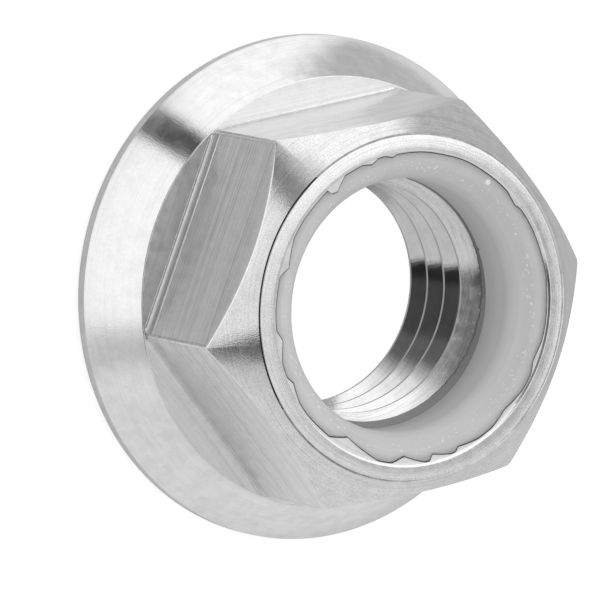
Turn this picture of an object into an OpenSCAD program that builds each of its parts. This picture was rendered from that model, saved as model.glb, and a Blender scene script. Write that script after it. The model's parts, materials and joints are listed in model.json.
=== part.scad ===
// Flange lock nut: a turned steel body with a milled hexagon on a conical flange,
// and a nylon locking ring held in its end by a crimped collar.
// The origin is at the centre of the bearing face, and +Z runs along the thread to the collar.

/* [Flange] */
// Diameter of the flange
flange_d = 19; // [17.8:0.1:24]
// Height of the cylindrical band round the flange's edge
flange_rim_h = 0.53; // [0.3:0.01:1.2]
// Edge break where the band meets the bearing face
flange_edge = 0.1; // [0.05:0.01:0.25]
// Height of the ledges at the feet of the flats, above the bearing face
ledge_h = 2.5; // [1.6:0.05:3.2]
// How far the flange's cone ends outside the corners of the hexagon
ledge_step = 0.09; // [0.05:0.01:0.3]

/* [Hexagon] */
// Size across the flats, for the wrench
across_flats = 14; // [13.6:0.1:15.4]
// How much the turned corners are smaller than sharp ones, across the corners
corner_trim = 0.11; // [0.05:0.01:0.5]
// Radius that the milling cutter leaves at the foot of each flat
foot_r = 0.2; // [0.1:0.01:0.4]
// Slope of the turned chamfer on top of the hexagon, from the level
chamfer_deg = 43; // [30:1:50]

/* [Thread] */
// Nominal diameter of the thread
thread_d = 10; // [9:0.1:10.3]
// Pitch of the thread
thread_pitch = 1.25; // [0.75:0.05:1.5]
// How much wider than its basic size the hole is bored before tapping
tap_drill_over = 0.05; // [0:0.01:0.2]
// Included angle of the countersinks at both ends of the thread
csk_deg = 120; // [90:5:130]
// How much wider than the thread the countersink at the bearing face is
csk_over = 0.2; // [0.1:0.05:0.8]

/* [Collar] */
// Height of the whole nut, at the top of the collar
nut_h = 8.54; // [8:0.02:10]
// Thickness of the collar round the locking ring's pocket
collar_wall = 0.47; // [0.3:0.01:0.55]
// Width of the tool groove round the collar
groove_w = 0.08; // [0.04:0.01:0.15]
// Depth of the tool groove below the collar's top
groove_depth = 0.16; // [0.1:0.01:0.3]
// How far the collar's top stands above the end of the chamfer
collar_step = 0.05; // [0.02:0.01:0.08]
// Edge break on the collar's outer edge
collar_edge = 0.03; // [0.01:0.01:0.05]
// How far the crimped lip is folded in over the locking ring
lip_reach = 0.22; // [0.1:0.01:0.4]
// Thickness of the lip at its inner edge
lip_t = 0.08; // [0.04:0.01:0.15]

/* [Locking ring] */
// Height of the shoulder that the locking ring sits on
seat_h = 5.3; // [4.6:0.1:6]
// How much smaller than the thread the hole through the locking ring is
ring_grip = 0.56; // [0.3:0.02:1]
// Thickness of the ring, from its hole to its outside
ring_wall = 1.23; // [1.05:0.01:1.3]
// Clearance round the ring in its pocket
ring_clear = 0.02; // [0.01:0.01:0.05]
// Radius of the ring's crown, where it turns into the hole
crown_r = 0.95; // [0.7:0.05:1]
// Bevel at the lower edge of the ring's hole
ring_bevel = 0.5; // [0.2:0.05:0.6]

/* [Hidden] */
$fn = 96;

flange_r = flange_d / 2;
corner_r = (across_flats / cos(30) - corner_trim) / 2;
cone_top_r = corner_r + ledge_step;

// The hole before tapping: the basic minor diameter, plus the drill's allowance
bore_r = (thread_d - 1.0825 * thread_pitch + tap_drill_over) / 2;
csk_r = (thread_d + csk_over) / 2;
csk_h = (csk_r - bore_r) / tan(csk_deg / 2);

// The locking ring is sized from the thread, and the pocket, lip and collar from the ring
ring_hole_r = (thread_d - ring_grip) / 2;
ring_r = ring_hole_r + ring_wall;
pocket_r = ring_r + ring_clear;
lip_r = pocket_r - lip_reach;

collar_r = pocket_r + collar_wall;
chamfer_top_r = collar_r + groove_w;
chamfer_top_h = nut_h - collar_step;
corner_top_h = chamfer_top_h - (corner_r - chamfer_top_r) * tan(chamfer_deg);

// The lip is folded in at 45 degrees, so it is as deep as it reaches in
lip_root_h = nut_h - lip_t - (pocket_r - lip_r);

crown_top_h = nut_h - ring_clear;

// Half of the body's section before the hexagon is milled, bounded by the turned surfaces
module turned_section() {
    polygon([
        [csk_r, 0],
        [flange_r - flange_edge, 0],
        [flange_r, flange_edge],
        [flange_r, flange_rim_h],
        [cone_top_r, ledge_h],
        [corner_r, ledge_h],
        [corner_r, corner_top_h],
        [chamfer_top_r, chamfer_top_h],
        [collar_r, nut_h - groove_depth],
        [collar_r, nut_h - collar_edge],
        [collar_r - collar_edge, nut_h],
        [lip_r, nut_h],
        [lip_r, nut_h - lip_t],
        [pocket_r, lip_root_h],
        [pocket_r, seat_h],
        [csk_r, seat_h],
        [bore_r, seat_h - csk_h],
        [bore_r, csk_h],
    ]);
}

// Section that the cutter takes away beside one flat, with its nose radius at the foot
module milled_section() {
    flat_x = across_flats / 2;
    reach = flange_r;
    difference() {
        translate([flat_x, ledge_h]) square([reach, nut_h]);
        translate([flat_x, ledge_h]) square([foot_r, foot_r]);
    }
    translate([flat_x + foot_r, ledge_h + foot_r]) circle(r = foot_r);
}

// One pass of the cutter along a flat
module milled_flat() {
    rotate([90, 0, 0]) linear_extrude(height = 2 * flange_d, center = true) milled_section();
}

// Turned, bored and countersunk blank, with six flats milled down to the ledges
module nut_body() {
    color([0.77, 0.78, 0.79])
    difference() {
        rotate_extrude() turned_section();
        for (i = [0:5]) {
            rotate([0, 0, 30 + 60 * i]) milled_flat();
        }
    }
}

// Room for the locking ring: the pocket less its clearance, open inside the lip
module ring_room() {
    in_r = lip_r - ring_clear;
    fold_h = nut_h - lip_t - ring_clear;
    polygon([
        [0, seat_h],
        [ring_r, seat_h],
        [ring_r, fold_h - (ring_r - in_r)],
        [in_r, fold_h],
        [in_r, crown_top_h],
        [0, crown_top_h],
    ]);
}

// Half section of the ring: a straight wall that rolls over into a rounded crown
module ring_section() {
    crown_x = ring_hole_r + crown_r;
    crown_h = crown_top_h - crown_r;
    intersection() {
        ring_room();
        union() {
            translate([crown_x, crown_h]) circle(r = crown_r);
            translate([crown_x, crown_h]) square([pocket_r, crown_r]);
            polygon([
                [ring_hole_r, crown_h],
                [ring_hole_r, seat_h + ring_bevel],
                [ring_hole_r + ring_bevel, seat_h],
                [2 * pocket_r, seat_h],
                [2 * pocket_r, crown_h],
            ]);
        }
    }
}

// Nylon ring that grips the screw, seated on the shoulder under the crimped lip
module locking_ring() {
    color([0.80, 0.81, 0.80]) rotate_extrude() ring_section();
}

nut_body();
locking_ring();
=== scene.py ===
import json
import math

import bpy
from mathutils import Matrix, Vector


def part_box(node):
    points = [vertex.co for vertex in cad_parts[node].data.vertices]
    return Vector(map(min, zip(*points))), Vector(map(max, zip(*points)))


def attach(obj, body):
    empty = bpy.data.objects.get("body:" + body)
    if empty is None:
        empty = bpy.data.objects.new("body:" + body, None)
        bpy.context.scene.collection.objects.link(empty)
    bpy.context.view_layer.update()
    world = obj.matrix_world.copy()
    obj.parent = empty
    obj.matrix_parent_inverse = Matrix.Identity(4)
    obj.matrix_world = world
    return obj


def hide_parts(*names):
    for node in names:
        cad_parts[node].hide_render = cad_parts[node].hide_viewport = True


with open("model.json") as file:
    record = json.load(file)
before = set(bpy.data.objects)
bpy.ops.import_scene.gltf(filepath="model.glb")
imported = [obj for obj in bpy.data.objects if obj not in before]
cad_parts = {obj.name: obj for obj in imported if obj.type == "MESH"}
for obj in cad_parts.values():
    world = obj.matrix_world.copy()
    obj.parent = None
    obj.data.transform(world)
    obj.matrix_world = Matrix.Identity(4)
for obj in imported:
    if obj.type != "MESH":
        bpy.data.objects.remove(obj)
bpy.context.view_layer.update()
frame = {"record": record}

# Nut body: one piece of bright steel bar, turned to a cone-shaped flange and a chamfered
# head, with six flats milled down to ledges. The pocket at its end leaves a thin collar, which
# is rolled in over the locking ring and folds a little unevenly where it is pressed down.
MM = 0.001
# Sizes are in mm. r and x are out from the axis, h is up from the bearing face, w is a width,
# t a thickness, and ease the radius of an edge. Angles are in degrees round the axis.
flange_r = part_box("nut_body")[1].x / MM
nut_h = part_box("nut_body")[1].z / MM
rim_h = 0.53
rim_break = 0.1
rim_ease = 0.05
ledge_h = 2.5
ledge_ease, scuffed_ledge_ease = 0.045, 0.07
flat_x = 7.0
flat_ease, scuffed_flat_ease = 0.08, 0.2
corner_r = 8.028
corner_turn = math.degrees(math.acos(flat_x / corner_r))
corner_line_turn = 0.13
cone_top_r = corner_r + 0.09
foot_r = 0.13
foot_steps = 4
step_line_h = ledge_h + 0.47
step_line_w = 0.055
step_line_in, scuffed_line_in = 0.005, 0.03
chamfer_slope = math.tan(math.radians(43))
chamfer_top_h = nut_h - 0.05
collar_r = 6.44
chamfer_top_r = collar_r + 0.08
groove_h = nut_h - 0.16
# Painted shade in the collar's groove: the angle of its middle, and the half angles at which it is full
# and at which it has faded out
shade_middle, shade_full, shade_none = 38, 32, 46
collar_side_h = nut_h - 0.08
collar_edge_h = nut_h - 0.045
collar_ease = 0.03
lip_crease_r = 5.85
collar_top_r = lip_crease_r + 0.09
collar_top_ease = 0.085
lip_r = 5.815
lip_drop = 0.03
lip_lean = 0.018
seam_side = 50
lip_t = 0.085
lip_root_h = nut_h - 0.14
pocket_top_h = nut_h - 0.3
pocket_r = 5.97
seat_h = 5.3
thread = next(m for m in frame["record"]["mounts"] if m["name"] == "thread")
bore_r = thread["dims"]["r_mm"]
csk_r = 5.1
csk_h = (csk_r - bore_r) / math.tan(math.radians(60))
# Finishes of the body; the last one is painted shade in the collar's groove
TURNED, FACED, FOLDED, MILLED, WORN, LEDGE, TAPPED, BORED, GROOVE_SHADE = range(9)

# Waves in the lip's edge: how many go round it, and depth in mm
WAVES = [(7, 0.012), (19, 0.008)]
# Where the lip folded as it was rolled in: start, tip and end in degrees, and depth in mm
FOLDS = [
    (22, 33, 37, 0.28), (57, 61, 69, 0.2), (75, 78, 86, 0.14), (104, 111, 127, 0.38),
    (133, 138, 147, 0.27), (149, 150.5, 158, 0.23), (160.5, 162, 171, 0.15),
    (178, 186, 196, 0.17), (203, 208, 216, 0.13), (268, 271, 277, 0.1),
    (328, 330, 333, 0.09), (336, 339, 343, 0.14), (351, 357, 364, 0.32),
]


def fold_depth(angle):
    """How far the lip's edge reaches in at an angle, past its even round line."""
    depth = 0
    for count, reach in WAVES:
        depth += reach * math.sin(math.radians(count * angle))
    for start, tip, end, reach in FOLDS:
        if start < angle <= tip:
            depth += reach * (angle - start) / (tip - start)
        elif tip < angle < end:
            depth += reach * (end - angle) / (end - tip)
    return depth


def body_section(angle):
    """Corners of half the body's section at an angle: radius, height, easing and finish."""
    slack = 0.01
    off_flat = angle % 60 - 30
    on_flat = -corner_turn - slack < off_flat < corner_turn - slack
    on_line = corner_turn - slack < abs(off_flat) < corner_turn + corner_line_turn + slack
    stretch = 1 / math.cos(math.radians(off_flat))
    corner = WORN if on_line else BORED
    scuffed = 0 < angle < 60
    line_in = scuffed_line_in if scuffed else step_line_in
    foot = []
    for step in range(foot_steps + 1):
        turn = math.radians(90 * step / foot_steps)
        foot_x = flat_x + foot_r * (1 - math.sin(turn))
        foot_h = ledge_h + foot_r * (1 - math.cos(turn))
        foot.append((min(foot_x * stretch, corner_r), foot_h, 0, MILLED if on_flat else corner))
    if on_flat and scuffed:
        foot[-1] = (*foot[-1][:3], WORN)
    for step_h, step_in in ((step_line_h, 0), (step_line_h + step_line_w, line_in)):
        step_r = min((flat_x - step_in) * stretch, corner_r)
        foot.append((step_r, step_h, 0, MILLED if on_flat else corner))
    flat_r = min((flat_x - line_in) * stretch, corner_r)
    edge_h = chamfer_top_h - (flat_r - chamfer_top_r) * chamfer_slope
    lip_in = lip_r - fold_depth(angle)
    lip_h = nut_h - lip_drop + lip_lean * math.cos(math.radians(angle - seam_side))
    # Along one stretch the groove's face takes painted shade
    groove_finish = GROOVE_SHADE if abs(angle - shade_middle) % 360 < shade_none else TURNED
    return [
        (csk_r, 0, 0, TURNED),
        (flange_r - rim_break, 0, 0, TURNED),
        (flange_r, rim_break, 0, TURNED),
        (flange_r, rim_h, rim_ease, TURNED),
        (cone_top_r, ledge_h, scuffed_ledge_ease if scuffed else ledge_ease, LEDGE),
        *foot,
        (flat_r, edge_h, scuffed_flat_ease if scuffed else flat_ease, FACED),
        (chamfer_top_r, chamfer_top_h, 0, TURNED),
        (collar_r, groove_h, 0, groove_finish),
        (collar_r, collar_side_h, 0, TURNED),
        (collar_r, collar_edge_h, collar_ease, FACED),
        (collar_top_r, nut_h, collar_top_ease, TURNED),
        (lip_crease_r, lip_h, 0, FOLDED),
        (lip_in, lip_h, 0, TURNED),
        (lip_in, nut_h - lip_t, 0, TURNED),
        (lip_crease_r, lip_root_h, 0, TURNED),
        (pocket_r, pocket_top_h, 0, TURNED),
        (pocket_r, seat_h, 0, TURNED),
        (csk_r, seat_h, 0, BORED),
        (bore_r, seat_h - csk_h, 0, TAPPED),
        (bore_r, csk_h, 0, TURNED),
    ]


def eased(corners, steps=4):
    """Points of a closed section whose corners are rounded by their easing radius."""
    points = []
    for i, (x, z, radius, finish) in enumerate(corners):
        here = Vector((x, z))
        if not radius:
            points.append((x, z, finish))
            continue
        before = (Vector(corners[i - 1][:2]) - here).normalized()
        after = (Vector(corners[(i + 1) % len(corners)][:2]) - here).normalized()
        half = before.angle(after) / 2
        centre = here + (before + after).normalized() * (radius / math.sin(half))
        start = here + before * (radius / math.tan(half)) - centre
        end = here + after * (radius / math.tan(half)) - centre
        sweep = math.atan2(start.x * end.y - start.y * end.x, start.dot(end))
        for step in range(steps + 1):
            point = centre + Matrix.Rotation(sweep * step / steps, 2) @ start
            points.append((point.x, point.y, finish if step == steps else TURNED))
    return points


def ring_mesh(name, angles, section):
    """A closed ring: the section at each angle, in mm, joined to the next one's."""
    columns = [section(angle) for angle in angles]
    rows = len(columns[0])
    points = []
    for angle, column in zip(angles, columns):
        turn = math.radians(angle)
        points += [(r * math.cos(turn) * MM, r * math.sin(turn) * MM, z * MM) for r, z, _ in column]
    faces = []
    for i in range(len(angles)):
        this, after = i * rows, (i + 1) % len(angles) * rows
        for j in range(rows):
            k = (j + 1) % rows
            faces.append((this + j, after + j, after + k, this + k))
    mesh = bpy.data.meshes.new(name)
    mesh.from_pydata(points, [], faces)
    finishes = [column[j][2] for column in columns for j in range(rows)]
    mesh.polygons.foreach_set("material_index", finishes)
    piece = bpy.data.objects.new(name, mesh)
    bpy.context.scene.collection.objects.link(piece)
    return piece


flat_columns = 117
body_angles = []
for side in range(6):
    flat_middle = 60 * side + 30
    body_angles += [60 * side, flat_middle - corner_turn - corner_line_turn]
    for i in range(flat_columns + 1):
        body_angles.append(flat_middle + corner_turn * (2 * i / flat_columns - 1))
    body_angles.append(flat_middle + corner_turn + corner_line_turn)
nut_body = ring_mesh("flange_nut", body_angles, lambda angle: eased(body_section(angle)))


def add(tree, kind, inputs=None, **settings):
    """Adds a node with its settings, and sets each input or links it to a node or a socket."""
    node = tree.nodes.new(kind)
    for key, value in settings.items():
        setattr(node, key, value)
    for key, value in (inputs or {}).items():
        if isinstance(value, bpy.types.Node):
            value = next(socket for socket in value.outputs if socket.enabled)
        if isinstance(value, bpy.types.NodeSocket):
            tree.links.new(value, node.inputs[key])
        else:
            node.inputs[key].default_value = value
    return node


def linear(colour):
    """An sRGB hex colour as linear light, with full alpha."""
    levels = [int(colour[i:i + 2], 16) / 255 for i in (1, 3, 5)]
    return [v / 12.92 if v <= 0.04045 else ((v + 0.055) / 1.055) ** 2.4 for v in levels] + [1]


def heading(azimuth, elevation=0):
    """A unit vector from an azimuth and an elevation in degrees."""
    level = math.cos(math.radians(elevation))
    return Vector((level * math.cos(math.radians(azimuth)), level * math.sin(math.radians(azimuth)),
                   math.sin(math.radians(elevation))))


# Marks that run round the axis have their stated length at this radius. Cleaning leaves
# cloudy blotches half a millimetre across. The steel's real pits are finer than the picture
# can show, so they are drawn as coarse as they need to be to show.
marks_r = 6
blotches_per_mm = 2
pits_per_mm = 19


def steel(name, lay, colour, dull, roughness, anisotropy, relief, fine, coarse, along, grain, tooth):
    """Bright steel cut by a tool, with marks that run round the axis or level along a flat.

    fine and coarse are the spacings of the marks and along is their length, all in mm. dull is
    the colour of the deeper marks, and relief their depth in mm. grain is how much the pits
    darken the steel, and tooth their depth in mm.
    """
    material = bpy.data.materials.new(name)
    material.use_nodes = True
    tree = material.node_tree
    tree.nodes.clear()
    place = add(tree, "ShaderNodeTexCoord").outputs["Object"]
    place = add(tree, "ShaderNodeVectorMath", {0: place, "Scale": 1 / MM}, operation="SCALE")
    xyz = add(tree, "ShaderNodeSeparateXYZ", {0: place}).outputs
    if lay == "round":
        level = add(tree, "ShaderNodeVectorMath", {0: place, 1: (1, 1, 0)}, operation="MULTIPLY")
        outward = add(tree, "ShaderNodeVectorMath", {0: level}, operation="NORMALIZE")
    else:
        # A flat and its ledge are cut in one pass, along the side of the hexagon that is nearest
        turn = add(tree, "ShaderNodeMath", {0: xyz["Y"], 1: xyz["X"]}, operation="ARCTAN2")
        side = add(tree, "ShaderNodeMath", {0: turn, 1: math.pi / 3}, operation="SNAP")
        side = add(tree, "ShaderNodeMath", {0: side, 1: math.pi / 6}, operation="ADD")
        east = add(tree, "ShaderNodeMath", {0: side}, operation="COSINE")
        north = add(tree, "ShaderNodeMath", {0: side}, operation="SINE")
        outward = add(tree, "ShaderNodeCombineXYZ", {"X": east, "Y": north})
    groove = add(tree, "ShaderNodeVectorMath", {0: (0, 0, 1), 1: outward}, operation="CROSS_PRODUCT")
    out = add(tree, "ShaderNodeVectorMath", {0: place, 1: outward}, operation="DOT_PRODUCT")
    # Marks are long, so the noise hardly moves along the groove and moves fast across it
    if lay == "round":
        slow = add(tree, "ShaderNodeVectorMath", {0: outward, "Scale": fine * marks_r / along},
                   operation="SCALE")
    else:
        run = add(tree, "ShaderNodeVectorMath", {0: place, 1: groove}, operation="DOT_PRODUCT")
        run = add(tree, "ShaderNodeMath", {0: run, 1: fine / along}, operation="MULTIPLY")
        slow = add(tree, "ShaderNodeCombineXYZ", {"X": run, "Y": side})
    across = add(tree, "ShaderNodeCombineXYZ", {"Z": out})
    vector = add(tree, "ShaderNodeVectorMath", {0: slow, 1: across}, operation="ADD")
    marks = []
    for spacing in (fine, coarse):
        deep = add(tree, "ShaderNodeMath", {0: xyz["Z"], 1: 1 / spacing}, operation="MULTIPLY")
        wide = add(tree, "ShaderNodeVectorMath", {0: vector, "Scale": 1 / spacing}, operation="SCALE")
        marks.append(add(tree, "ShaderNodeTexNoise", {"Vector": wide, "W": deep, "Scale": 1, "Detail": 2},
                         noise_dimensions="4D"))
    # Where the coarse noise crosses its middle, there is a thin scored line
    off = add(tree, "ShaderNodeMath", {0: marks[1], 1: 0.5}, operation="SUBTRACT")
    off = add(tree, "ShaderNodeMath", {0: off}, operation="ABSOLUTE")
    score = add(tree, "ShaderNodeMapRange", {"Value": off, "From Max": 0.03})
    hair = add(tree, "ShaderNodeMapRange", {"Value": marks[0], "From Min": 0.3, "From Max": 0.6})
    worn = add(tree, "ShaderNodeMath", {0: score, 1: 0.5}, operation="MULTIPLY")
    worn = add(tree, "ShaderNodeMath", {0: hair, 1: 0.5, 2: worn}, operation="MULTIPLY_ADD")
    blotch = add(tree, "ShaderNodeTexNoise", {
        "Vector": place, "Scale": blotches_per_mm, "Detail": 8, "Roughness": 0.62})
    cloud = add(tree, "ShaderNodeMapRange", {
        "Value": blotch, "From Min": 0.36, "From Max": 0.6, "To Min": 0.9})
    grit = add(tree, "ShaderNodeTexNoise", {"Vector": place, "Scale": pits_per_mm, "Detail": 2})
    speck = add(tree, "ShaderNodeMapRange", {
        "Value": grit, "From Min": 0.32, "From Max": 0.55, "To Min": 1 - grain})
    cloud = add(tree, "ShaderNodeMath", {0: cloud, 1: speck}, operation="MULTIPLY")
    tint = add(tree, "ShaderNodeMix", {"Factor": worn, "A": linear(dull), "B": linear(colour)},
               data_type="RGBA")
    tint = add(tree, "ShaderNodeVectorMath", {0: tint, "Scale": cloud}, operation="SCALE")
    rough = add(tree, "ShaderNodeMapRange", {
        "Value": blotch, "From Min": 0.3, "From Max": 0.7,
        "To Min": roughness * 0.75, "To Max": roughness * 1.25})
    height = add(tree, "ShaderNodeMath", {0: grit, 1: tooth / relief, 2: worn}, operation="MULTIPLY_ADD")
    bump = add(tree, "ShaderNodeBump", {"Height": height, "Distance": relief * MM})
    shader = add(tree, "ShaderNodeBsdfPrincipled", {
        "Base Color": tint, "Metallic": 1, "Roughness": rough, "Anisotropic": anisotropy,
        "Anisotropic Rotation": 0.25, "Tangent": groove, "Normal": bump})
    add(tree, "ShaderNodeOutputMaterial", {"Surface": shader})
    return material


def paint_groove_shade(shade_colour, bare, patches_per_mm=2.2):
    """Painted shade in the groove's bottom, full in the middle of one stretch and fading at its ends."""
    material = bpy.data.materials.new("groove_shade_steel")
    material.use_nodes = True
    tree = material.node_tree
    tree.nodes.clear()
    place = add(tree, "ShaderNodeTexCoord").outputs["Object"]
    place = add(tree, "ShaderNodeVectorMath", {0: place, "Scale": 1 / MM}, operation="SCALE")
    outward = add(tree, "ShaderNodeVectorMath", {0: place, 1: (1, 1, 0)}, operation="MULTIPLY")
    outward = add(tree, "ShaderNodeVectorMath", {0: outward}, operation="NORMALIZE")
    lean = add(tree, "ShaderNodeVectorMath", {0: outward, 1: heading(shade_middle)},
               operation="DOT_PRODUCT")
    patchy = add(tree, "ShaderNodeTexNoise", {"Vector": place, "Scale": patches_per_mm, "Detail": 3})
    lean = add(tree, "ShaderNodeMath", {0: patchy, 1: 0.5, 2: lean}, operation="MULTIPLY_ADD")
    thin = add(tree, "ShaderNodeMapRange", {
        "Value": lean, "From Min": math.cos(math.radians(shade_full)) + 0.2,
        "From Max": math.cos(math.radians(shade_none)) + 0.25})
    tint = add(tree, "ShaderNodeMix", {"Factor": thin, "A": linear(shade_colour), "B": linear(bare)},
               data_type="RGBA")
    shader = add(tree, "ShaderNodeBsdfPrincipled", {"Base Color": tint, "Roughness": 0.6})
    add(tree, "ShaderNodeOutputMaterial", {"Surface": shader})
    return material


# Turned: fed round the axis by a sharp tool, so it throws light across its fine grooves
turned_steel = steel(
    "turned_steel", "round", "#efefef", "#e6e6e6", roughness=0.14, anisotropy=0.85,
    relief=0.0004, fine=0.05, coarse=0.22, along=10, grain=0.04, tooth=0.0024)
# Faced: the chamfer and the collar's top have deeper and shorter tool marks, and look grained
faced_steel = steel(
    "faced_steel", "round", "#f1f1f1", "#dadada", roughness=0.15, anisotropy=0.85,
    relief=0.0008, fine=0.045, coarse=0.2, along=4, grain=0.17, tooth=0.0028)
# Folded: the lip's thin edge, torn and dulled where it was pressed down
folded_steel = steel(
    "folded_steel", "round", "#ececec", "#d0d0d0", roughness=0.42, anisotropy=0.4,
    relief=0.0008, fine=0.045, coarse=0.2, along=4, grain=0.1, tooth=0.002)
# Milled: cut along each flat, a little duller, with straight feed lines and odd scratches
milled_steel = steel(
    "milled_steel", "level", "#f4f4f4", "#c6c6c6", roughness=0.2, anisotropy=0.65,
    relief=0.0013, fine=0.045, coarse=0.22, along=9, grain=0.1, tooth=0.0012)
# Worn: the strip under one flat's step line, torn by the worn corner of the cutter, and the thin lines
# beside the corners, which it draws darker than the flats
worn_steel = steel(
    "worn_steel", "level", "#dadada", "#888888", roughness=0.22, anisotropy=0.65,
    relief=0.0013, fine=0.045, coarse=0.12, along=14, grain=0.1, tooth=0.0012)
# Ledges: left smoother by the end of the same cutter, but duller
ledge_steel = steel(
    "ledge_steel", "level", "#efefef", "#dddddd", roughness=0.34, anisotropy=0.65,
    relief=0.0006, fine=0.05, coarse=0.4, along=12, grain=0.06, tooth=0.0004)
# Tapped: the tap rubs the flanks of the thread almost to a polish
tapped_steel = steel(
    "tapped_steel", "round", "#efefef", "#e3e3e3", roughness=0.1, anisotropy=0.5,
    relief=0.0004, fine=0.08, coarse=0.3, along=12, grain=0.03, tooth=0.0004)
# Bored: the countersink is cut with a blunter tool, so it is duller than the outside
bored_steel = steel(
    "bored_steel", "round", "#fcfcfc", "#d4d4d4", roughness=0.25, anisotropy=0.85,
    relief=0.001, fine=0.06, coarse=0.2, along=8, grain=0.05, tooth=0.001)
# Groove shade: dark and without shine, painted shade in the groove round the collar along one stretch
groove_shade_steel = paint_groove_shade("#525252", "#c4c4c4")
for finish in (turned_steel, faced_steel, folded_steel, milled_steel, worn_steel, ledge_steel,
               tapped_steel, bored_steel, groove_shade_steel):
    nut_body.data.materials.append(finish)

# Thread: metric fine, right-hand, cut by a tap from the bearing face to the ring's shoulder.
# The cutter's path is swept here as one long tooth, and taken out of the bored body.
pitch = 1.25
thread_d = 10.0
root_w = 0.38
flank_lean = math.radians(30)
cut_start_h = -0.5875
cut_turns = 5.2
last_crest_h = 3.79


def tapping_cut():
    """Geometry nodes that sweep the tap's tooth along the thread's helix."""
    tree = bpy.data.node_groups.new("tapping_cut", "GeometryNodeTree")
    for name in ("Pitch", "Turns", "Start height", "Bore radius", "Root radius", "Root width"):
        tree.interface.new_socket(name, in_out="INPUT", socket_type="NodeSocketFloat")
    tree.interface.new_socket("Cut", in_out="OUTPUT", socket_type="NodeSocketGeometry")
    size = add(tree, "NodeGroupInput").outputs
    # The tooth starts a little inside the bore, so that nothing is left of the wall there
    overlap = add(tree, "ShaderNodeMath", {0: size["Pitch"], 1: 0.08}, operation="MULTIPLY")
    inner = add(tree, "ShaderNodeMath", {0: size["Bore radius"], 1: overlap}, operation="SUBTRACT")
    depth = add(tree, "ShaderNodeMath", {0: size["Root radius"], 1: inner}, operation="SUBTRACT")
    middle = add(tree, "ShaderNodeMath", {0: size["Root radius"], 1: inner}, operation="ADD")
    middle = add(tree, "ShaderNodeMath", {0: middle, 1: 0.5}, operation="MULTIPLY")
    flare = add(tree, "ShaderNodeMath", {0: depth, 1: 2 * math.tan(flank_lean)}, operation="MULTIPLY")
    base = add(tree, "ShaderNodeMath", {0: size["Root width"], 1: flare}, operation="ADD")
    tooth = add(tree, "GeometryNodeCurvePrimitiveQuadrilateral", {
        "Bottom Width": base, "Top Width": size["Root width"], "Height": depth, "Offset": 0},
        mode="TRAPEZOID")
    tooth = add(tree, "GeometryNodeTransform", {
        "Geometry": tooth, "Rotation": (0, 0, math.radians(-90))})
    rise = add(tree, "ShaderNodeMath", {0: size["Pitch"], 1: size["Turns"]}, operation="MULTIPLY")
    helix = add(tree, "GeometryNodeCurveSpiral", {
        "Resolution": 180, "Rotations": size["Turns"], "Start Radius": middle,
        "End Radius": middle, "Height": rise, "Reverse": True})
    helix = add(tree, "GeometryNodeSetCurveNormal", {"Curve": helix}, mode="Z_UP")
    sweep = add(tree, "GeometryNodeCurveToMesh", {
        "Curve": helix, "Profile Curve": tooth, "Fill Caps": True})
    lift = add(tree, "ShaderNodeCombineXYZ", {"Z": size["Start height"]})
    placed = add(tree, "GeometryNodeTransform", {"Geometry": sweep, "Translation": lift})
    real = add(tree, "GeometryNodeRealizeInstances", {"Geometry": placed})
    finished = add(tree, "GeometryNodeSetMaterial", {"Geometry": real, "Material": tapped_steel})
    add(tree, "NodeGroupOutput", {0: finished})
    return tree


cutter = bpy.data.objects.new("tap_cut", bpy.data.meshes.new("tap_cut"))
bpy.context.scene.collection.objects.link(cutter)
swept = cutter.modifiers.new("tapping_cut", "NODES")
swept.node_group = tapping_cut()
sizes = {
    "Pitch": pitch * MM, "Turns": cut_turns, "Start height": cut_start_h * MM,
    "Bore radius": bore_r * MM, "Root radius": thread_d / 2 * MM, "Root width": root_w * MM,
}
for socket in swept.node_group.interface.items_tree:
    if socket.in_out == "INPUT":
        swept[socket.identifier] = sizes[socket.name]
tapping = nut_body.modifiers.new("tapping", "BOOLEAN")
tapping.operation = "DIFFERENCE"
tapping.solver = "MANIFOLD"
tapping.object = cutter
tapping.material_mode = "TRANSFER"
evaluated = nut_body.evaluated_get(bpy.context.evaluated_depsgraph_get())
tapped = bpy.data.meshes.new_from_object(evaluated)
nut_body.modifiers.clear()
nut_body.data = tapped
bpy.data.objects.remove(cutter)
# Above its last crest the thread runs out into the countersink, and has the borer's finish
for face in tapped.polygons:
    around = math.degrees(math.atan2(face.center.y, face.center.x)) % 360 / 360
    if face.material_index == TAPPED and face.center.z / MM > last_crest_h + pitch * around:
        face.material_index = BORED
tapped.shade_smooth()
tapped.set_sharp_from_angle(angle=math.radians(26))
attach(nut_body, "root")
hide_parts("nut_body")

# Locking ring: turned from natural nylon rod, pressed into the pocket and held by the lip. It
# grips the screw, so its hole is smaller than the thread. Its lower edge has a thin burr of
# nylon, wider on one side, which reaches over the mouth of the thread.
ring_clear = 0.02
ring_foot_h = seat_h + 0.002
ring_shoulder_h = 8.1
ring_hole_r = 4.72
hole_lean = 0.06
crown_x = 5.66
crown_h = 7.56
crown_r = nut_h - 0.06 - crown_h
crown_steps = 18
wall_steps = 6
tool_line_depth = 0.012
seam_w = 0.04
ring_edge_h = 5.75
burr_side = 165
burr_least, burr_most = 0.03, 0.25
torn_side, torn_half, dark_shade_half = 215, 50, 40
# The torn edge has this many waves round the ring, each this deep
TEARS = (37, 101)
tear_depth = 0.02
# Finishes of the ring: clean nylon, dark painted shade in the seam and on the burr's torn edge, and mid
# grey painted shade on the burr
CLEAN, DARK_SHADE, BURR_SHADE = range(3)


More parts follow.
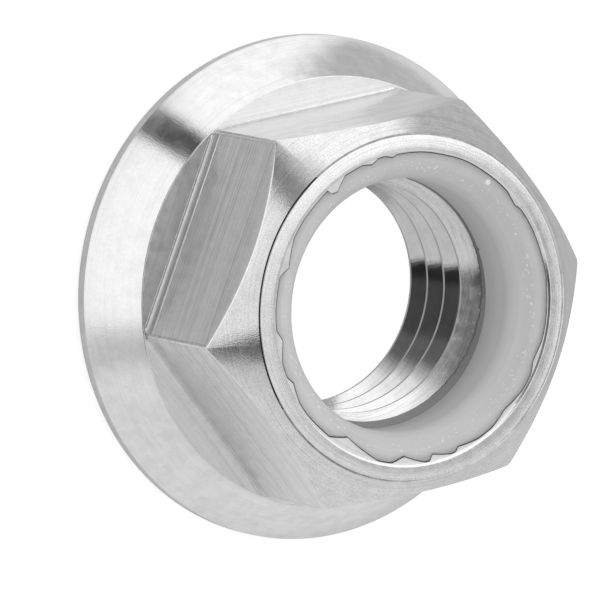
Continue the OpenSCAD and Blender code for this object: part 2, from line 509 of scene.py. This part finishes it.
def ring_section(angle):
    """Half the ring's section at an angle, as points of radius, height and finish."""
    lean = max(0, math.cos(math.radians(angle - burr_side)))
    off_torn = angle - torn_side
    torn = math.cos(math.radians(90 / torn_half * off_torn)) if abs(off_torn) < torn_half else 0
    torn *= sum(tear_depth * math.sin(math.radians(count * angle)) for count in TEARS)
    burr = burr_least + burr_most * lean ** 1.5 + torn
    # The burr's edge is painted dark near the torn side and mid grey elsewhere, both as painted shade
    burr_edge = DARK_SHADE if abs(off_torn) < dark_shade_half else BURR_SHADE
    hole_r = ring_hole_r + hole_lean * lean
    lip_in = lip_r - fold_depth(angle)
    seam_in = lip_in - seam_w - lip_lean * math.cos(math.radians(angle - seam_side))
    points = [
        (pocket_r - ring_clear, ring_foot_h, CLEAN), (pocket_r - ring_clear, ring_shoulder_h, CLEAN),
        # The seam under the lip is painted dark, as painted shade in the gap
        (lip_in + 0.03, nut_h - 0.16, DARK_SHADE), (lip_in - 0.01, nut_h - 0.13, DARK_SHADE),
    ]
    start = math.degrees(math.acos(min(0, (seam_in - crown_x) / crown_r)))
    points.append((seam_in, crown_h + crown_r * math.sin(math.radians(start)), CLEAN))
    for step in range(1, crown_steps + 1):
        turn = math.radians(start + (180 - start) * step / crown_steps)
        points.append((crown_x + crown_r * math.cos(turn), crown_h + crown_r * math.sin(turn), CLEAN))
    wall_r = crown_x - crown_r
    for step in range(1, wall_steps + 1):
        share = step / wall_steps
        ease = share * share * (3 - 2 * share)
        r = wall_r + (hole_r - wall_r) * ease - (tool_line_depth if 2 * step == wall_steps else 0)
        h = crown_h + (ring_edge_h + 0.02 - crown_h) * share
        points.append((r, h, BURR_SHADE if step == wall_steps else CLEAN))
    points += [
        (hole_r - burr * 0.5, ring_edge_h - 0.04, BURR_SHADE),
        (hole_r - burr, ring_edge_h - 0.1, burr_edge),
        (hole_r - burr, ring_edge_h - 0.18, burr_edge),
        (hole_r + 0.1, ring_edge_h - 0.2, CLEAN),
        (csk_r + 0.1, ring_foot_h, CLEAN),
    ]
    return points


ring_columns = 480
ring_angles = [360 / ring_columns * i for i in range(ring_columns)]
locking_ring = ring_mesh("nylon_ring", ring_angles, ring_section)
locking_ring.data.shade_smooth()
locking_ring.data.set_sharp_from_angle(angle=math.radians(40))

# Turning lines a third of a millimetre apart, soft clouds in the nylon, and white flecks
# round the crown, which are finer in the real ring and are drawn coarse enough to show
lines_per_mm = 3
clouds_per_mm = 0.7
flecks_per_mm = 7
fleck_r = 5.2
fleck_w = 0.35
SPECKS = [
    # radius, angle in degrees, height, size in mm, colour
    # The first speck is a pip on the crown, white partly in its own colour and partly as painted
    # highlight for the light on its bump
    (5.56, 285.7, 8.43, 0.13, "#ffffff"),
    (4.82, 227.3, 7.6, 0.035, "#303030"),
    (4.72, 252.5, 5.78, 0.07, "#282828"),
    (4.7, 199, 5.8, 0.08, "#282828"),
]


def natural_nylon():
    """Turned natural nylon: milky and a little see-through, with faint tool lines and chips."""
    material = bpy.data.materials.new("natural_nylon")
    material.use_nodes = True
    tree = material.node_tree
    tree.nodes.clear()
    place = add(tree, "ShaderNodeTexCoord").outputs["Object"]
    place = add(tree, "ShaderNodeVectorMath", {0: place, "Scale": 1 / MM}, operation="SCALE")
    height = add(tree, "ShaderNodeSeparateXYZ", {0: place}).outputs["Z"]
    level = add(tree, "ShaderNodeVectorMath", {0: place, 1: (1, 1, 0)}, operation="MULTIPLY")
    radius = add(tree, "ShaderNodeVectorMath", {0: level}, operation="LENGTH")
    deep = add(tree, "ShaderNodeMath", {0: height, 1: lines_per_mm}, operation="MULTIPLY")
    wide = add(tree, "ShaderNodeCombineXYZ", {"X": radius})
    wide = add(tree, "ShaderNodeVectorMath", {0: wide, "Scale": lines_per_mm}, operation="SCALE")
    lines = add(tree, "ShaderNodeTexNoise", {"Vector": wide, "W": deep, "Scale": 1},
                noise_dimensions="4D")
    faint = add(tree, "ShaderNodeMapRange", {
        "Value": lines, "From Min": 0.35, "From Max": 0.65, "To Min": 0.93, "To Max": 1.02})
    cloud = add(tree, "ShaderNodeTexNoise", {"Vector": place, "Scale": clouds_per_mm, "Detail": 3})
    tint = add(tree, "ShaderNodeMix", {
        "Factor": cloud, "A": linear("#d8d8d8"), "B": linear("#e4e4e4")}, data_type="RGBA")
    # Down the hole the nylon is painted paler than on its crown, as painted light that evens out the
    # shade in the hole
    lift_in_hole = add(tree, "ShaderNodeMapRange", {"Value": height, "From Min": 8.3, "From Max": 7.6})
    tint = add(tree, "ShaderNodeMix", {"Factor": lift_in_hole, "A": tint, "B": linear("#f4f4f4")},
               data_type="RGBA")
    # White flecks were torn up round the crown, where the ring was pressed in
    grain = add(tree, "ShaderNodeTexNoise", {"Vector": place, "Scale": flecks_per_mm, "Detail": 2})
    fleck = add(tree, "ShaderNodeMapRange", {"Value": grain, "From Min": 0.62, "From Max": 0.68})
    off = add(tree, "ShaderNodeMath", {0: radius, 1: fleck_r}, operation="SUBTRACT")
    off = add(tree, "ShaderNodeMath", {0: off}, operation="ABSOLUTE")
    near = add(tree, "ShaderNodeMapRange", {"Value": off, "From Min": fleck_w, "From Max": 0})
    solid = add(tree, "ShaderNodeMath", {0: fleck, 1: near}, operation="MULTIPLY")
    tint = add(tree, "ShaderNodeMix", {"Factor": solid, "A": tint, "B": linear("#ffffff")},
               data_type="RGBA")
    for r, angle, h, size, colour in SPECKS:
        spot = (r * math.cos(math.radians(angle)), r * math.sin(math.radians(angle)), h)
        off = add(tree, "ShaderNodeVectorMath", {0: place, 1: spot}, operation="DISTANCE")
        cover = add(tree, "ShaderNodeMapRange", {"Value": off, "From Min": size, "From Max": size * 0.7})
        tint = add(tree, "ShaderNodeMix", {"Factor": cover, "A": tint, "B": linear(colour)},
                   data_type="RGBA")
        solid = add(tree, "ShaderNodeMath", {0: solid, 1: cover}, operation="MAXIMUM")
    milky = add(tree, "ShaderNodeMath", {0: 1, 1: solid}, operation="SUBTRACT")
    tint = add(tree, "ShaderNodeVectorMath", {0: tint, "Scale": faint}, operation="SCALE")
    bump = add(tree, "ShaderNodeBump", {"Height": lines, "Distance": 0.03 * MM})
    shader = add(tree, "ShaderNodeBsdfPrincipled", {
        "Base Color": tint, "Roughness": 0.38, "IOR": 1.53, "Subsurface Weight": milky,
        "Subsurface Radius": (1.6, 1.6, 1.6), "Subsurface Scale": MM, "Normal": bump})
    add(tree, "ShaderNodeOutputMaterial", {"Surface": shader})
    return material


def shade_painted_nylon(name, colour, roughness):
    """Nylon in one grey colour all over, as painted shade, on an edge too thin for any other detail."""
    material = bpy.data.materials.new(name)
    material.use_nodes = True
    tree = material.node_tree
    tree.nodes.clear()
    shader = add(tree, "ShaderNodeBsdfPrincipled", {
        "Base Color": linear(colour), "Roughness": roughness})
    add(tree, "ShaderNodeOutputMaterial", {"Surface": shader})
    return material


# The seam at the lip and the burr's torn edge are painted dark grey, as painted shade in the gap, and the
# rest of the burr mid grey, as painted shade under the ring's edge
locking_ring.data.materials.append(natural_nylon())
locking_ring.data.materials.append(shade_painted_nylon("seam_shade_nylon", "#6c6c6c", 0.6))
locking_ring.data.materials.append(shade_painted_nylon("burr_shade_nylon", "#949494", 0.35))
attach(locking_ring, "root")
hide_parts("locking_ring")

# Floor: a plain white table that the nut stands on. Eyes and bright steel see it as white, and it takes
# the nut's soft shadow. What the steel sees of it carries painted light: a glow that is stronger near the
# foot, and pools of painted light in some directions.
floor_half = 0.5
floor_drop = 0.02 * MM
# Glow that the steel sees on the table, stronger near the foot as painted light over the table's shadow
# there
near_glow, far_glow = 0.26, 0.19
bore_bright, foot_bright = 0.95, 0.74
# Pools of painted light on the table, which only the steel sees
POOLS = [
    # azimuth of the middle, half angle at full and at no strength in degrees, end in mm, strength
    (-32, 13, 25, 500, 0.6),
    (-68, 12, 22, 11.3, 0.38),
    (112, 30, 70, 500, 0.25),
    (-178, 15, 31, 500, 0.12),
    (21, 15, 45, 500, -0.04),
]
corners = [(x * floor_half, y * floor_half, -floor_drop)
           for x, y in ((-1, -1), (1, -1), (1, 1), (-1, 1))]
mesh = bpy.data.meshes.new("floor")
mesh.from_pydata(corners, [], [(0, 1, 2, 3)])
floor = bpy.data.objects.new("floor", mesh)
bpy.context.scene.collection.objects.link(floor)


def white_table():
    """Matt white, with a glow that the eye and the steel see and that lights nothing else."""
    material = bpy.data.materials.new("white_table")
    material.use_nodes = True
    tree = material.node_tree
    tree.nodes.clear()
    sight = add(tree, "ShaderNodeLightPath").outputs
    seen = add(tree, "ShaderNodeMath", {0: sight["Is Glossy Ray"], 1: sight["Is Transmission Ray"]},
               operation="MAXIMUM")
    spot = add(tree, "ShaderNodeTexCoord").outputs["Object"]
    reach = add(tree, "ShaderNodeVectorMath", {0: spot}, operation="LENGTH")
    clear = add(tree, "ShaderNodeMapRange", {
        "Value": reach, "From Min": flange_r * MM, "From Max": 1.2 * flange_r * MM})
    spot = add(tree, "ShaderNodeVectorMath", {0: spot}, operation="NORMALIZE")
    glow = add(tree, "ShaderNodeMapRange", {"Value": clear, "To Min": near_glow, "To Max": far_glow})
    for azimuth, full, none, end, level in POOLS:
        lean = add(tree, "ShaderNodeVectorMath", {0: spot, 1: heading(azimuth)},
                   operation="DOT_PRODUCT")
        pool = add(tree, "ShaderNodeMapRange", {
            "Value": lean, "From Min": math.cos(math.radians(none)),
            "From Max": math.cos(math.radians(full)), "To Max": level},
            interpolation_type="SMOOTHSTEP")
        near = add(tree, "ShaderNodeMapRange", {
            "Value": reach, "From Min": end * MM, "From Max": 0.96 * end * MM})
        pool = add(tree, "ShaderNodeMath", {0: pool, 1: near}, operation="MULTIPLY")
        glow = add(tree, "ShaderNodeMath", {0: pool, 1: clear, 2: glow}, operation="MULTIPLY_ADD")
    glow = add(tree, "ShaderNodeMath", {0: glow, 1: seen}, operation="MULTIPLY")
    # Through the bore the table's glow is painted stronger, as painted light over its shade there, and
    # round the foot it keeps a faint shadow
    bright = add(tree, "ShaderNodeMapRange", {
        "Value": reach, "From Min": bore_r * MM, "From Max": flange_r * MM,
        "To Min": bore_bright, "To Max": foot_bright})
    glow = add(tree, "ShaderNodeMath", {0: sight["Is Camera Ray"], 1: bright, 2: glow},
               operation="MULTIPLY_ADD")
    white = add(tree, "ShaderNodeBsdfDiffuse", {"Color": linear("#b6b6b6")})
    lit = add(tree, "ShaderNodeEmission", {"Color": (1, 1, 1, 1), "Strength": glow})
    both = add(tree, "ShaderNodeAddShader", {0: white, 1: lit})
    add(tree, "ShaderNodeOutputMaterial", {"Surface": both})
    return material


mesh.materials.append(white_table())

# Light: a white tent all round, lit from one side. Dark cards draw the edges of the steel, and
# the lens looks in through a dark opening.
key_azimuth, key_elevation = -25, 25
key_level, far_level = 1.18, 0.76
# Cosines of the angle from the key at which its light is full and at which it has faded out
key_full, key_none = 0.3, -0.55
CARDS = [
    # azimuth and elevation of the middle, half width, half height and soft edge in degrees, level
    (125, 46, 40, 17, 8, 0.59),
    (-172, 70, 16, 12, 8, 0.84),
    (-141, 54, 12, 11, 6, 0.5),
    (-101, 6, 34, 14, 6, 0.55),
    (-95, 57, 16, 15, 7, 1.3),
    (22, 37, 36, 11, 7, 0.9),
    (-8.5, 4, 6, 16, 1.3, 0.06),
    (-13, 36, 11, 16, 7, 0.55),
    (-7, 36, 6, 18, 3, 0.3),
    (76, 22, 8, 34, 6, 0.64),
    (75, 42, 6, 20, 3, 0.12),
    (30, 76, 22, 10, 6, 0.45),
    (20, 59, 17, 12, 8, 0.12),
    (57, 59, 16.3, 12, 2, 0.06),
    (83, 59, 4, 12, 2, 0.015),
]


def tent_light(tree, toward):
    """Builds the tent's brightness in the direction that toward looks."""
    lean = add(tree, "ShaderNodeVectorMath", {0: toward, 1: heading(key_azimuth, key_elevation)},
               operation="DOT_PRODUCT")
    light = add(tree, "ShaderNodeMapRange", {"Value": lean, "From Min": key_none, "From Max": key_full},
                interpolation_type="SMOOTHSTEP")
    light = add(tree, "ShaderNodeMapRange", {"Value": light, "To Min": far_level, "To Max": key_level})
    for azimuth, elevation, half_w, half_h, soft, level in CARDS:
        middle = heading(azimuth, elevation)
        sideways = heading(azimuth + 90)
        # A card covers only its own side of the tent, not the side that faces it
        lean = add(tree, "ShaderNodeVectorMath", {0: toward, 1: middle}, operation="DOT_PRODUCT")
        cover = add(tree, "ShaderNodeMapRange", {"Value": lean, "From Max": 0.15},
                    interpolation_type="SMOOTHSTEP")
        for axis, half in ((sideways, half_w), (middle.cross(sideways), half_h)):
            off = add(tree, "ShaderNodeVectorMath", {0: toward, 1: axis}, operation="DOT_PRODUCT")
            off = add(tree, "ShaderNodeMath", {0: off}, operation="ABSOLUTE")
            edge = add(tree, "ShaderNodeMapRange", {
                "Value": off, "From Min": math.sin(math.radians(half + soft)),
                "From Max": math.sin(math.radians(half - soft))}, interpolation_type="SMOOTHSTEP")
            cover = add(tree, "ShaderNodeMath", {0: cover, 1: edge}, operation="MULTIPLY")
        light = add(tree, "ShaderNodeMix", {"Factor": cover, "A": light, "B": level})
    return light


bpy.context.scene.view_settings.view_transform = "Standard"
world = bpy.data.worlds.new("tent")
bpy.context.scene.world = world
world.use_nodes = True
tree = world.node_tree
tree.nodes.clear()
light = tent_light(tree, add(tree, "ShaderNodeTexCoord").outputs["Generated"])
direct = add(tree, "ShaderNodeLightPath").outputs["Is Camera Ray"]
light = add(tree, "ShaderNodeMix", {"Factor": direct, "A": light, "B": 1})
tent = add(tree, "ShaderNodeBackground", {"Color": (1, 1, 1, 1), "Strength": light})
add(tree, "ShaderNodeOutputWorld", {"Surface": tent})

# Camera: a long lens from above one side, rolled over so that the nut seems to stand on edge
camera_azimuth = 38.82
camera_elevation = 59.87
camera_distance = 0.53855
camera_roll = 101.05
camera_target = Vector((-0.43, 0.29, 0)) * MM
lens = bpy.data.cameras.new("camera")
lens.lens = 861
lens.clip_start = 0.05
lens.clip_end = 10
camera = bpy.data.objects.new("camera", lens)
bpy.context.scene.collection.objects.link(camera)
back = heading(camera_azimuth, camera_elevation)
right = Matrix.Rotation(math.radians(camera_roll), 4, back) @ heading(camera_azimuth + 90)
camera.matrix_world = Matrix.Translation(camera_target + back * camera_distance) @ Matrix(
    (right, back.cross(right), back)).transposed().to_4x4()
bpy.context.scene.camera = camera
